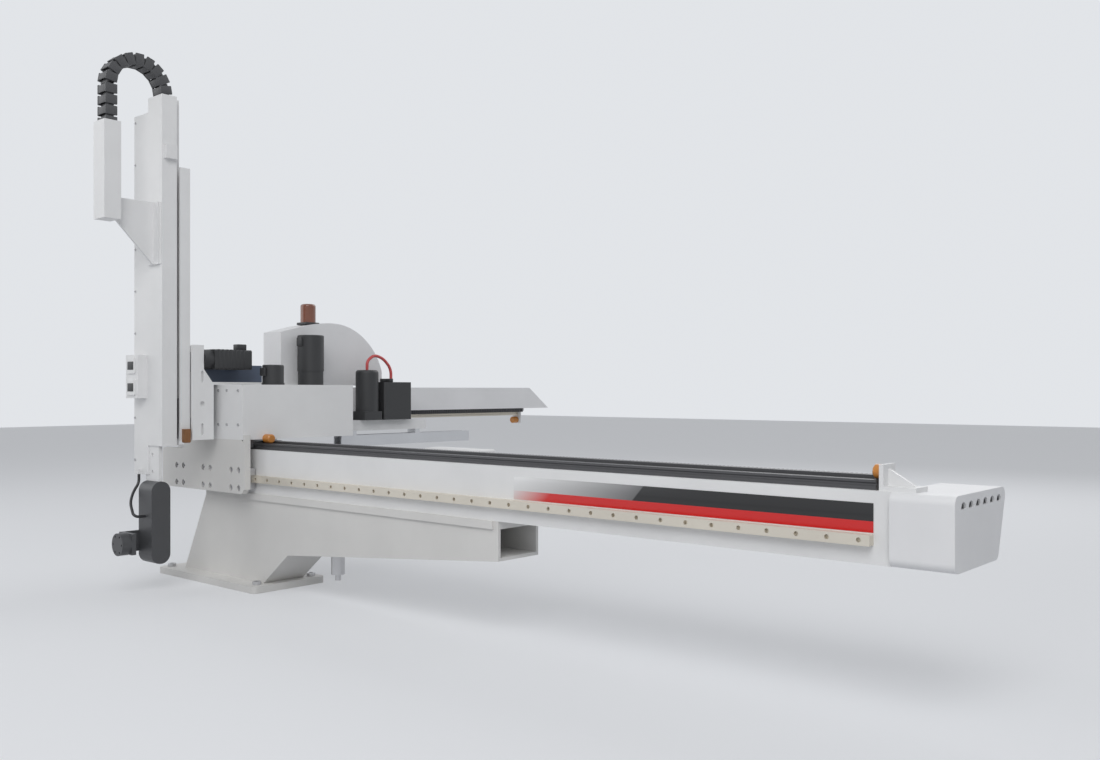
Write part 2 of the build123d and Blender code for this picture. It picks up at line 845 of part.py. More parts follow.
# Cable tray hung under the rear bracket
rear_tray_top = rear_bar_bottom - rear_tray_gap
with BuildPart() as rear_cable_tray:
    with BuildSketch(Plane.XZ.offset(-bridge_back - sheet)):
        slab(rear_bar_left, rear_bar_right, rear_tray_top - rear_tray_height, rear_tray_top)
        slab(rear_bar_left + rear_bar_wall, rear_bar_right - rear_bar_wall,
             rear_tray_top - rear_tray_height + rear_bar_wall, rear_tray_top, mode=Mode.SUBTRACT)
    extrude(amount=bridge_back + sheet - rear_tray_back)
    with BuildSketch(Plane.XY.offset(rear_tray_top - rear_tray_height / 2)):
        for hanger_y in (bridge_back + 60.0, rear_bar_back - 40.0):
            with Locations(((rear_bar_left + rear_bar_right) / 2, hanger_y)):
                Rectangle(rear_bar_width, 20.0)
    extrude(amount=rear_tray_height / 2 + rear_tray_gap)
save(rear_cable_tray, "rear_cable_tray")

# Air unit: regulator tank and valve block on the rear bracket
rear_bar_x = (rear_bar_left + rear_bar_right) / 2
with BuildPart() as air_unit:
    with BuildSketch(Plane.XY.offset(rear_bar_top)):
        with Locations((rear_bar_x + 10.0, air_tank_y)):
            RectangleRounded(2 * air_tank_radius, 2 * air_tank_radius, 10.0)
    extrude(amount=air_base_height)
    with BuildSketch(Plane.XY.offset(rear_bar_top + air_base_height)):
        with Locations((rear_bar_x + 10.0, air_tank_y)):
            Circle(air_tank_radius)
    extrude(amount=air_tank_height)
    fillet(air_unit.edges().group_by(Axis.Z)[-1], 10.0)
save(air_unit, "air_unit")

air_tank_x = rear_bar_x + 10.0
valve_left = rear_bar_left - 5.0
with BuildPart() as valve_block:
    with BuildSketch(Plane.XY.offset(rear_bar_top)):
        slab(valve_left, valve_left + air_valve_width,
             air_valve_front, air_valve_front + air_valve_length)
    extrude(amount=air_valve_height)
    chamfer(valve_block.edges().filter_by(Axis.Z), 4.0)
save(valve_block, "valve_block")

hose_top = rear_bar_top + air_base_height + air_tank_height
valve_top = rear_bar_top + air_valve_height
valve_y = air_valve_front + air_valve_length / 2
smooth_hose("air_hose", [
    (air_tank_x, air_tank_y, hose_top),
    (air_tank_x, air_tank_y, hose_top + 30.0),
    (air_tank_x - 2.0, air_tank_y + 32.0, hose_top + 52.0),
    (air_tank_x - 3.0, valve_y - 34.0, hose_top + 40.0),
    (air_tank_x - 4.0, valve_y, valve_top + 46.0),
    (air_tank_x - 4.0, valve_y, valve_top),
], hose_radius)

# Ram: hollow beam with a closed tail
ram_right = ram_left + ram_width
with BuildPart() as ram_beam:
    with BuildSketch(Plane.XZ.offset(-ram_front)):
        slab(ram_left, ram_left + ram_width, ram_bottom, ram_top)
        slab(ram_left + ram_wall, ram_left + ram_width - ram_wall,
             ram_bottom + ram_wall, ram_top - ram_wall, mode=Mode.SUBTRACT)
    extrude(amount=ram_front - ram_tail)
    with BuildSketch(Plane.XZ.offset(-ram_tail)):
        slab(ram_left, ram_right, ram_bottom, ram_top)
        slab(ram_rail_x - rail_width, ram_rail_x + rail_width,
             ram_bottom - ram_stop_drop, ram_bottom)
    extrude(amount=-ram_stop_plate)
save(ram_beam, "ram_beam")

with BuildPart() as ram_rail:
    with BuildSketch(Plane.XZ.offset(-ram_front)):
        with Locations((ram_rail_x, ram_bottom)):
            add(Location((0, 0, 0), (0, 0, 180)) * rail_section(rail_width, rail_height))
    extrude(amount=ram_front - ram_tail)
save(ram_rail, "ram_rail")

ram_rack_count = int((ram_tail - ram_front) // rack_pitch)
ram_shift = ram_motor_y % rack_pitch
ram_rack_start = ram_shift + rack_pitch * int((ram_front - ram_shift) // rack_pitch + 1)
ram_rack_plane = Plane((ram_rack_tip, 0, ram_rack_bottom), x_dir=(0, -1, 0), z_dir=(0, 0, 1))
with BuildPart() as ram_rack:
    with BuildSketch(ram_rack_plane):
        with Locations((-ram_rack_start - (ram_rack_count - 1) * rack_pitch, 0)):
            Polygon(*rack_outline(ram_rack_count - 1, ram_rack_tip - ram_right), align=None)
    extrude(amount=ram_rack_height)
save(ram_rack, "ram_rack")

# Ram cover: folded sheet over the beam with a slanted tail
cover_bottom = ram_bottom + ram_cover_lift
with BuildPart() as ram_cover:
    with BuildSketch(Plane.YZ.offset(ram_cover_left)):
        with BuildLine():
            Polyline(
                (ram_front, cover_bottom), (ram_tail_bottom, cover_bottom),
                (ram_tail_top, cover_top), (ram_front, cover_top), close=True,
            )
        make_face()
    extrude(amount=ram_cover_right - ram_cover_left)
    with BuildSketch(Plane.YZ.offset(ram_cover_left + ram_cover_wall)):
        with BuildLine():
            Polyline(
                (ram_front, cover_bottom), (ram_tail_bottom - 2 * ram_cover_wall, cover_bottom),
                (ram_tail_top - ram_cover_wall, ram_top), (ram_front, ram_top), close=True,
            )
        make_face()
    extrude(amount=ram_cover_right - ram_cover_left - 2 * ram_cover_wall, mode=Mode.SUBTRACT)
save(ram_cover, "ram_cover")

# Urethane bumper under the closed tail of the ram
ram_bumper_z = ram_bottom - ram_stop_drop + bumper_radius
with BuildPart() as ram_bumper:
    with BuildSketch(Plane.XZ.offset(-ram_tail)):
        with Locations((ram_rail_x, ram_bumper_z)):
            Circle(bumper_radius)
    extrude(amount=ram_bumper_length)
    chamfer(ram_bumper.edges().group_by(Axis.Y)[0], 3.0)
save(ram_bumper, "ram_bumper")

for name, block_y in (("ram_block_front", ram_block_front), ("ram_block_back", ram_block_back)):
    guide_block(
        name,
        Plane((ram_rail_x, block_y, bridge_top), x_dir=(0, 1, 0), z_dir=(0, 0, -1)),
        guide_narrow, guide_length, guide_height, guide_foot_gap, slot_20,
        rail_height + rail_gap,
    )

# Mount plate across the front of the ram
with BuildPart() as arm_mount_plate:
    with BuildSketch(Plane.XZ.offset(-ram_front)):
        slab(mount_left, mount_right, mount_bottom, mount_top)
    extrude(amount=mount_thick)
    chamfer(arm_mount_plate.edges().filter_by(Axis.Y), 6.0)
save(arm_mount_plate, "arm_mount_plate")

# Side plate with slots, and the shelf over the top plate
shelf_bottom = top_face + shelf_gap
side_neck = ram_front - shelf_gap
with BuildPart() as front_frame:
    with BuildSketch(Plane.YZ.offset(mount_right)):
        with BuildLine():
            Polyline(
                (side_front, mount_bottom), (side_back, mount_bottom),
                (side_back, shelf_bottom), (side_neck, shelf_bottom + side_slope),
                (side_neck, mount_top), (side_front, mount_top), close=True,
            )
        make_face()
        with Locations((mount_front + side_thick, (mount_bottom + ram_bottom) / 2)):
            SlotOverall(side_slot_length, side_slot_width, rotation=90, mode=Mode.SUBTRACT)
        with Locations((mount_front + side_thick, shelf_bottom + side_slope / 2)):
            SlotOverall(side_slot_length, side_slot_width, rotation=90, mode=Mode.SUBTRACT)
        with Locations((mount_front + side_thick, (ram_bottom + ram_top) / 2)):
            Circle(side_hole_radius, mode=Mode.SUBTRACT)
    extrude(amount=side_thick)
    with BuildSketch(Plane.XY.offset(shelf_bottom)):
        slab(ram_left, mount_right, ram_front, shelf_back)
    extrude(amount=shelf_thick)
save(front_frame, "front_frame")

# Control box on the shelf
with BuildPart() as ram_control_box:
    with BuildSketch(Plane.XY.offset(shelf_bottom + shelf_thick)):
        slab(box_left, box_left + box_width, box_front, shelf_back)
    extrude(amount=box_height)
    chamfer(ram_control_box.edges().group_by(Axis.Z)[-1], 2.0)
save(ram_control_box, "ram_control_box")

# Arm servo: round reducer on the mount plate, square motor behind it
with BuildPart() as arm_servo:
    with BuildSketch(Plane.XZ.offset(-ram_front)):
        with Locations((arm_motor_x, arm_motor_z)):
            Circle(arm_reducer_radius)
    extrude(amount=-arm_reducer_length)
    with BuildSketch(Plane.XZ.offset(-ram_front - arm_reducer_length)):
        with Locations((arm_motor_x, arm_motor_z)):
            RectangleRounded(arm_motor_side, arm_motor_side, 6.0)
    extrude(amount=-arm_motor_length)
save(arm_servo, "arm_servo")

slot_15 = arm_rail_width + 2 * rail_gap
lower_guide_z = stage_1_bottom + rail_inset + arm_guide_length / 2
upper_guide_z = mount_top - arm_guide_length / 2 - 20.0
for name, guide_z in (("arm_block_lower", lower_guide_z), ("arm_block_upper", upper_guide_z)):
    guide_block(
        name,
        Plane((arm_x, mount_front, guide_z), x_dir=(0, 0, 1), z_dir=(0, 1, 0)),
        arm_guide_width, arm_guide_length, arm_guide_height, arm_guide_foot_gap, slot_15,
        arm_rail_height + rail_gap,
    )

# Chain anchor: reaches past the first stage into the open side of the second
anchor_half = chain_thick / 2 - chain_neck
with BuildPart() as chain_anchor:
    with BuildSketch(Plane.XY.offset(chain_inner_bottom - anchor_thick)):
        slab(anchor_left, anchor_left + anchor_width, chain_inner_y - anchor_half, mount_front)
        slab(anchor_left, arm_x + chain_width / 2,
             chain_inner_y - anchor_half, chain_inner_y + anchor_half)
    extrude(amount=anchor_thick)
save(chain_anchor, "chain_anchor")

chain_run("chain_inner_run", chain_inner_y, chain_inner_bottom, chain_spring_z)

# First stage: channel that opens to the front
with BuildPart() as arm_stage_1:
    with BuildSketch(Plane.XY.offset(stage_1_bottom)):
        slab(stage_left, stage_right, stage_1_front, stage_1_back)
        slab(stage_left + stage_1_wall, stage_right - stage_1_wall,
             stage_1_front, stage_1_web, mode=Mode.SUBTRACT)
    extrude(amount=stage_1_top - stage_1_bottom)
    with BuildSketch(Plane.XY.offset(stage_1_bottom + rail_inset)):
        with Locations((arm_x, stage_1_back)):
            add(rail_section(arm_rail_width, arm_rail_height))
    extrude(amount=stage_1_top - stage_1_bottom - 2 * rail_inset)
save(arm_stage_1, "arm_stage_1")

with BuildPart() as stage_1_bumper:
    with BuildSketch(Plane.XY.offset(stage_1_bottom - rail_inset)):
        slab(stage_right, stage_right + side_stop_depth,
             stage_1_front + rail_inset, stage_1_back - rail_inset)
    extrude(amount=side_stop_height)
    chamfer(stage_1_bumper.edges().group_by(Axis.Z)[0], 2.0)
save(stage_1_bumper, "stage_1_bumper")

guide_block(
    "stage_2_block",
    Plane(
        (arm_x, stage_1_web, stage_1_bottom + rail_inset + arm_guide_length),
        x_dir=(0, 0, 1), z_dir=(0, 1, 0),
    ),
    arm_guide_width, 2 * arm_guide_length, arm_guide_height, arm_guide_foot_gap, slot_15,
    arm_rail_height + rail_gap,
)

# Bend of the chain: half ring of wedge links over both runs
bend_count = round(chain_radius * pi / chain_pitch)
bend_step = 180 / bend_count
bend_trim = chain_groove / chain_radius * 90 / pi
with BuildPart() as chain_bend:
    with BuildSketch(Plane.YZ.offset(arm_x)):
        with Locations((chain_mid_y, chain_spring_z)):
            Circle(chain_radius + chain_thick / 2 - chain_neck)
            Circle(chain_radius - chain_thick / 2 + chain_neck, mode=Mode.SUBTRACT)
            for link in range(bend_count):
                corners = []
                for reach, ends in ((chain_radius - chain_thick / 2, (bend_trim, bend_step - bend_trim)),
                                    (chain_radius + chain_thick / 2, (bend_step - bend_trim, bend_trim))):
                    for turn in ends:
                        angle = radians(link * bend_step + turn)
                        corners.append((reach * cos(angle), reach * sin(angle)))
                Polygon(*corners, align=None)
        slab(chain_mid_y - 2 * chain_radius, chain_mid_y + 2 * chain_radius,
             chain_spring_z - 2 * chain_radius, chain_spring_z, mode=Mode.SUBTRACT)
    extrude(amount=chain_width / 2, both=True)
save(chain_bend, "chain_bend")

# Second stage: column open to the left, rib and rail on its back
with BuildPart() as arm_stage_2:
    with BuildSketch(Plane.XY.offset(stage_2_bottom)):
        slab(stage_left, stage_right, stage_2_front, stage_2_back)
        slab(stage_left, stage_right - stage_2_wall,
             stage_2_front + stage_2_wall, stage_2_back - stage_2_wall, mode=Mode.SUBTRACT)
        slab(arm_x - rib_width / 2, arm_x + rib_width / 2, stage_2_back, rib_back)
        with Locations((arm_x, rib_back)):
            add(rail_section(arm_rail_width, arm_rail_height))
    extrude(amount=stage_2_top - stage_2_bottom)
    with BuildSketch(Plane.XY.offset(side_stop_z)):
        slab(stage_right, stage_right + side_stop_depth,
             stage_2_front + rail_inset, stage_2_back - rail_inset)
    extrude(amount=side_stop_height)
save(arm_stage_2, "arm_stage_2")

# Front cover beside the column, with the hose fitting on it
hose_x = (front_cover_left + stage_left) / 2
hose_y = stage_2_front - fitting_size / 2
with BuildPart() as stage_2_cover:
    with BuildSketch(Plane.XY.offset(front_cover_bottom)):
        slab(front_cover_left, stage_left, stage_2_front, stage_2_front + stage_2_wall)
        slab(front_cover_left, front_cover_left + stage_2_wall,
             stage_2_front, stage_2_front + front_cover_return)
    extrude(amount=front_cover_top - front_cover_bottom)
    with BuildSketch(Plane.XY.offset(front_cover_bottom)):
        with Locations((hose_x, hose_y)):
            Rectangle(fitting_size, fitting_size)
    extrude(amount=fitting_size)
save(stage_2_cover, "stage_2_cover")

# Vacuum gauges on the front cover
gauge_left = front_cover_left + stage_2_wall
with BuildPart() as arm_gauges:
    with BuildSketch(Plane.XZ.offset(-stage_2_front)):
        slab(gauge_left, gauge_left + gauge_width, gauge_bottom, gauge_bottom + gauge_height)
    extrude(amount=gauge_depth)
    with BuildSketch(Plane.XZ.offset(gauge_depth - stage_2_front)):
        with Locations((gauge_left + gauge_width / 2, gauge_bottom + gauge_height / 2)):
            with GridLocations(gauge_face, gauge_height / 2, 1, 2):
                RectangleRounded(gauge_face, gauge_face, 4.0)
    extrude(amount=stage_2_wall)
save(arm_gauges, "arm_gauges")

# Chain tray with its web and foot on the column
tray_half_x = chain_width / 2 + tray_side_gap
tray_half_y = chain_thick / 2 + tray_side_gap
tray_bottom = chain_outer_bottom - tray_floor
tray_inner_y = chain_outer_y + tray_half_y + tray_wall
with BuildPart() as chain_tray:
    with BuildSketch(Plane.XY.offset(tray_bottom)):
        with Locations((arm_x, chain_outer_y)):
            Rectangle(2 * (tray_half_x + tray_wall), 2 * (tray_half_y + tray_wall))
    extrude(amount=tray_height)
    with BuildSketch(Plane.XY.offset(chain_outer_bottom)):
        with Locations((arm_x, chain_outer_y)):
            Rectangle(2 * tray_half_x, 2 * tray_half_y)
    extrude(amount=tray_height - tray_floor, mode=Mode.SUBTRACT)
    with BuildSketch(Plane.YZ.offset(arm_x)):
        with BuildLine():
            Polyline(
                (tray_inner_y, tray_web_top), (tray_inner_y, tray_bottom),
                (stage_2_front - tray_web_thick, tray_web_bottom),
                (stage_2_front - tray_web_thick, tray_web_top), close=True,
            )
        make_face()
    extrude(amount=tray_web_thick / 2, both=True)
    with BuildSketch(Plane.XZ.offset(-stage_2_front)):
        slab(stage_left + tray_web_thick, stage_right - tray_web_thick,
             tray_web_bottom, tray_web_top)
    extrude(amount=tray_web_thick)
save(chain_tray, "chain_tray")

chain_run("chain_outer_run", chain_outer_y, chain_outer_bottom, chain_spring_z)

# Plate that carries the wrist, set inside the foot of the column
with BuildPart() as wrist_plate:
    with BuildSketch(Plane.XZ.offset(-stage_2_front - stage_2_wall)):
        slab(wrist_plate_left, wrist_plate_left + wrist_plate_width,
             wrist_top, stage_2_bottom + wrist_plate_overlap)
        with Locations((wrist_plate_left + wrist_plate_width / 2,
                        (wrist_top + stage_2_bottom) / 2)):
            with GridLocations(1, wrist_hole_pitch, 1, 2):
                Circle(wrist_hole_radius, mode=Mode.SUBTRACT)
    extrude(amount=-wrist_plate_thick)
save(wrist_plate, "wrist_plate")

# Wrist housing: round lower end, bored for the pivot
with BuildPart() as wrist_housing:
    with BuildSketch(Plane.YZ.offset(wrist_left)) as wrist_side:
        slab(wrist_front, wrist_front + wrist_depth, wrist_bottom, wrist_top)
        fillet(wrist_side.vertices().group_by(Axis.Z)[0], wrist_depth / 2 - 1.0)
    extrude(amount=wrist_width)
    with BuildSketch(Plane.YZ.offset(wrist_left)):
        with Locations((pivot_y, pivot_z)):
            Circle(pivot_radius + pivot_gap)
    extrude(amount=pivot_depth, mode=Mode.SUBTRACT)
save(wrist_housing, "wrist_housing")

# Swing bracket: cheek with the pivot pin, and a cross plate in front of the housing
cheek_right = wrist_left - rail_gap
cross_back = pivot_y - bracket_reach
with BuildPart() as wrist_bracket:
    with BuildSketch(Plane.YZ.offset(cheek_right)):
        with Locations((pivot_y, pivot_z)):
            Circle(bracket_radius)
        slab(cross_back - cross_thick, pivot_y, pivot_z - bracket_radius, pivot_z + bracket_radius)
    extrude(amount=-bracket_thick)
    with BuildSketch(Plane.YZ.offset(cheek_right)):
        with Locations((pivot_y, pivot_z)):
            Circle(pivot_radius)
    extrude(amount=pivot_depth)
    with BuildSketch(Plane.XZ.offset(-cross_back)):
        slab(cheek_right, flange_x + flange_radius,
             pivot_z - bracket_radius, pivot_z + bracket_radius)
    extrude(amount=cross_thick)
save(wrist_bracket, "wrist_bracket")

# Gripper flange with its bolt circle
with BuildPart() as gripper_flange:
    with BuildSketch(Plane.XZ.offset(cross_thick - cross_back)):
        with Locations((flange_x, pivot_z)):
            Circle(flange_radius)
            with PolarLocations(flange_bolt_circle, flange_bolts):
                Circle(flange_bolt_radius, mode=Mode.SUBTRACT)
    extrude(amount=flange_length)
save(gripper_flange, "gripper_flange")

# Air hose from the cover's fitting down into the wrist
smooth_hose("arm_hose", [
    (hose_x, hose_y, front_cover_bottom),
    (hose_x, hose_y, front_cover_bottom - 26.0),
    (hose_x + 8.0, hose_y - 22.0, front_cover_bottom - 52.0),
    (hose_x + 26.0, hose_y - 40.0, front_cover_bottom - 80.0),
    (flange_x, wrist_front - 34.0, front_cover_bottom - 118.0),
    (flange_x, wrist_front, front_cover_bottom - 118.0),
], arm_hose_radius)
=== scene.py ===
import json
import math

import bmesh
import bpy
from mathutils import Matrix, Vector


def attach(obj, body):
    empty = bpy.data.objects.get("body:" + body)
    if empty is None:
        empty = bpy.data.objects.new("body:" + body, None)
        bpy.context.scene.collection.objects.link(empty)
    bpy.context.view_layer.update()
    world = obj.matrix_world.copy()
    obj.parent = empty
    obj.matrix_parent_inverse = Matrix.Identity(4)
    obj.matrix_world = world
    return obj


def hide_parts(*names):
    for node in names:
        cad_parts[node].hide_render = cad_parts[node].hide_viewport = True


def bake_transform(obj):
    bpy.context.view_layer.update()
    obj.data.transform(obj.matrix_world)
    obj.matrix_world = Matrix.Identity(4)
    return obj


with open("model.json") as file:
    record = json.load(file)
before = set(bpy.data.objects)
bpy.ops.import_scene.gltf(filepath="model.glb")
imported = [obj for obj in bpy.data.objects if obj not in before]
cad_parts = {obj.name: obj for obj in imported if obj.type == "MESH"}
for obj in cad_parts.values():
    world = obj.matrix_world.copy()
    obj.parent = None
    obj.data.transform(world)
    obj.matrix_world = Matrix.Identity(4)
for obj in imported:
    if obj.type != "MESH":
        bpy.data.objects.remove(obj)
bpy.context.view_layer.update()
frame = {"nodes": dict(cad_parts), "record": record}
nodes = frame["nodes"]
slotOfNode = {s["node"]: s["material_slot"] for s in frame["record"]["subparts"]}
print("frame loaded,", len(nodes), "nodes")


# camera first: level, looking along the beam from its far end; lift is a shift in image widths
shot = {"place": (2.8583, -1.8042, 0.5872), "turn": 41.0, "lens": 33.77, "sensor": 36.0,
        "lift": 10 / 1100, "near": 0.05, "far": 60.0}
cameraData = bpy.data.cameras.new("shotCamera")
cameraData.lens = shot["lens"]
cameraData.sensor_width = shot["sensor"]
cameraData.sensor_fit = "HORIZONTAL"
cameraData.shift_y = shot["lift"]
cameraData.clip_start = shot["near"]
cameraData.clip_end = shot["far"]
shotCamera = bpy.data.objects.new("shotCamera", cameraData)
shotCamera.location = shot["place"]
shotCamera.rotation_euler = (math.radians(90), 0, math.radians(shot["turn"]))
bpy.context.scene.collection.objects.link(shotCamera)
bpy.context.scene.camera = shotCamera


# material helpers
def newMaterial(name):
    material = bpy.data.materials.new(name)
    material.use_nodes = True
    return material, material.node_tree, material.node_tree.nodes["Principled BSDF"]


def addNode(tree, kind, values=None):
    node = tree.nodes.new("ShaderNode" + kind)
    for socket, value in (values or {}).items():
        node.inputs[socket].default_value = value
    return node


def colourRamp(tree, first, last, firstAt=0.0, lastAt=1.0):
    ramp = addNode(tree, "ValToRGB")
    low, high = ramp.color_ramp.elements
    low.position = firstAt
    high.position = lastAt
    low.color = first
    high.color = last
    return ramp


# finishes: every one has a slow colour drift, a fine grain in the bump and uneven roughness
plainLook = {"metal": 0.0, "coat": 0.0, "stretch": (1, 1, 1), "spread": 0.03,
             "driftScale": 7.0, "driftDetail": 4.0, "driftFrom": 0.3, "driftTo": 0.7,
             "grainScale": 900.0, "grainDetail": 3.0, "bump": 0.12, "depth": 0.0003,
             "smoother": 0.06, "rougher": 0.08}


def makeFinish(name, ownLook):
    look = {**plainLook, **ownLook}
    material, tree, shader = newMaterial(name)
    shader.inputs["Metallic"].default_value = look["metal"]
    shader.inputs["Coat Weight"].default_value = look["coat"]
    place = addNode(tree, "TexCoord")
    stretch = addNode(tree, "Mapping", {"Scale": look["stretch"]})
    tree.links.new(place.outputs["Object"], stretch.inputs["Vector"])
    drift = addNode(tree, "TexNoise", {"Scale": look["driftScale"], "Detail": look["driftDetail"]})
    tree.links.new(place.outputs["Object"], drift.inputs["Vector"])
    darker = [c * (1 - look["spread"]) for c in look["colour"]] + [1]
    lighter = [min(1, c * (1 + look["spread"])) for c in look["colour"]] + [1]
    tint = colourRamp(tree, darker, lighter, look["driftFrom"], look["driftTo"])
    tree.links.new(drift.outputs["Fac"], tint.inputs["Fac"])
    tree.links.new(tint.outputs["Color"], shader.inputs["Base Color"])
    grain = addNode(tree, "TexNoise", {"Scale": look["grainScale"], "Detail": look["grainDetail"]})
    tree.links.new(stretch.outputs["Vector"], grain.inputs["Vector"])
    bump = addNode(tree, "Bump", {"Strength": look["bump"], "Distance": look["depth"]})
    tree.links.new(grain.outputs["Fac"], bump.inputs["Height"])
    tree.links.new(bump.outputs["Normal"], shader.inputs["Normal"])
    gloss = addNode(tree, "MapRange", {"To Min": look["rough"] - look["smoother"],
                                       "To Max": look["rough"] + look["rougher"]})
    tree.links.new(drift.outputs["Fac"], gloss.inputs["Value"])
    tree.links.new(gloss.outputs["Result"], shader.inputs["Roughness"])
    return material


finishes = {
    "white_paint": {"colour": (0.86, 0.86, 0.86), "rough": 0.38, "coat": 0.1},
    "casting": {"colour": (0.74, 0.73, 0.71), "rough": 0.5, "grainScale": 500.0, "bump": 0.3},
    "white_alloy": {"colour": (0.84, 0.84, 0.84), "rough": 0.42},
    "cover_plastic": {"colour": (0.85, 0.85, 0.86), "rough": 0.45, "grainScale": 1400.0},
    "silver_alloy": {"colour": (0.62, 0.63, 0.65), "rough": 0.35, "metal": 0.7,
                     "stretch": (1, 0.02, 1)},
    "cream_steel": {"colour": (0.74, 0.69, 0.60), "rough": 0.32, "metal": 0.45,
                    "stretch": (0.02, 1, 1)},
    "dark_steel": {"colour": (0.10, 0.10, 0.105), "rough": 0.42, "metal": 0.5,
                   "stretch": (0.02, 1, 1)},
    "bright_steel": {"colour": (0.55, 0.55, 0.56), "rough": 0.3, "metal": 0.8},
    "motor_black": {"colour": (0.035, 0.036, 0.038), "rough": 0.48, "bump": 0.25},
    "wrist_grey": {"colour": (0.075, 0.077, 0.082), "rough": 0.42, "bump": 0.2},
    "chain_grey": {"colour": (0.075, 0.076, 0.08), "rough": 0.5, "bump": 0.2},
    "slate_box": {"colour": (0.10, 0.13, 0.19), "rough": 0.4},
    "lamp_red": {"colour": (0.22, 0.07, 0.035), "rough": 0.2, "coat": 0.5},
    "urethane_orange": {"colour": (0.62, 0.24, 0.04), "rough": 0.35, "coat": 0.2},
    "urethane_brown": {"colour": (0.25, 0.11, 0.04), "rough": 0.4},
    "hose_red": {"colour": (0.62, 0.09, 0.09), "rough": 0.35},
    "hose_black": {"colour": (0.03, 0.03, 0.032), "rough": 0.35},
    "gauge_white": {"colour": (0.84, 0.84, 0.84), "rough": 0.35},
}
made = {name: makeFinish(name, look) for name, look in finishes.items()}
for name, node in nodes.items():
    if not node.material_slots:
        node.data.materials.append(None)
    for materialSlot in node.material_slots:
        materialSlot.material = made[slotOfNode[name]]
print("finishes on the frame's nodes")


# modelling helpers
def clearSelection():
    bpy.ops.object.select_all(action="DESELECT")


blockEdge = {"segments": 2, "smoothUnder": math.radians(35)}


def bevelledBlock(name, low, high, bevel, finish):
    clearSelection()
    middle = [(a + b) / 2 for a, b in zip(low, high)]
    bpy.ops.mesh.primitive_cube_add(size=1, location=middle)
    piece = bpy.context.active_object
    piece.name = name
    piece.scale = [b - a for a, b in zip(low, high)]
    bpy.ops.object.transform_apply(location=True, rotation=True, scale=True)
    bpy.ops.object.mode_set(mode="EDIT")
    bpy.ops.mesh.select_all(action="SELECT")
    bpy.ops.mesh.bevel(offset=bevel, segments=blockEdge["segments"], affect="EDGES")
    bpy.ops.object.mode_set(mode="OBJECT")
    piece.data.materials.append(finish)
    bpy.ops.object.shade_smooth_by_angle(angle=blockEdge["smoothUnder"])
    return piece


# a head's rim and wall are shares of its radius, the socket's depth a share of its height
screwHead = {"sides": 20, "rim": 0.12, "wall": 0.34, "socketDepth": 0.6, "topFacing": 0.9}


def capScrew(name, place, axis, radius, height, finish):
    # head with a socket, its underside at the place and its axis pointing out
    clearSelection()
    bpy.ops.mesh.primitive_cylinder_add(vertices=screwHead["sides"], radius=radius, depth=height)
    piece = bpy.context.active_object
    piece.name = name
    bpy.ops.object.mode_set(mode="EDIT")
    shape = bmesh.from_edit_mesh(piece.data)
    for face in shape.faces:
        face.select_set(face.normal.z > screwHead["topFacing"])
    bmesh.update_edit_mesh(piece.data)
    bpy.ops.mesh.inset(thickness=radius * screwHead["rim"], depth=0)
    bpy.ops.mesh.inset(thickness=radius * screwHead["wall"], depth=0)
    sink = (0, 0, -height * screwHead["socketDepth"])
    bpy.ops.mesh.extrude_region_move(TRANSFORM_OT_translate={"value": sink})
    bpy.ops.object.mode_set(mode="OBJECT")
    turn = Vector((0, 0, 1)).rotation_difference(Vector(axis)).to_matrix().to_4x4()
    lift = Matrix.Translation((0, 0, height / 2))
    piece.data.transform(Matrix.Translation(Vector(place)) @ turn @ lift)
    piece.data.materials.append(finish)
    return piece


def joinPieces(name, parts):
    clearSelection()
    for part in parts:
        part.select_set(True)
    bpy.context.view_layer.objects.active = parts[0]
    bpy.ops.object.join()
    parts[0].name = name
    return parts[0]


def copyAt(source, matrix):
    twin = source.copy()
    twin.data = source.data.copy()
    twin.data.transform(matrix)
    bpy.context.scene.collection.objects.link(twin)
    return twin


# beam graphic: plain fade from white through grey to black over a red stripe
# lean is how far the slant carries the fade at the graphic's middle height
graphic = {"low": (1.241, -0.0709, 0.337), "high": (2.101, -0.0701, 0.389), "edge": 0.0002,
           "stripe": 0.357, "blackFrom": 1.59, "slant": 0.9, "lean": 0.33,
           "white": (0.84, 0.84, 0.84, 1), "grey": (0.16, 0.16, 0.165, 1), "greyAt": 0.985,
           "black": (0.012, 0.012, 0.013, 1), "blackAt": 0.995,
           "red": (0.72, 0.012, 0.012, 1), "redAt": 0.35, "coat": 0.3, "rough": 0.3}


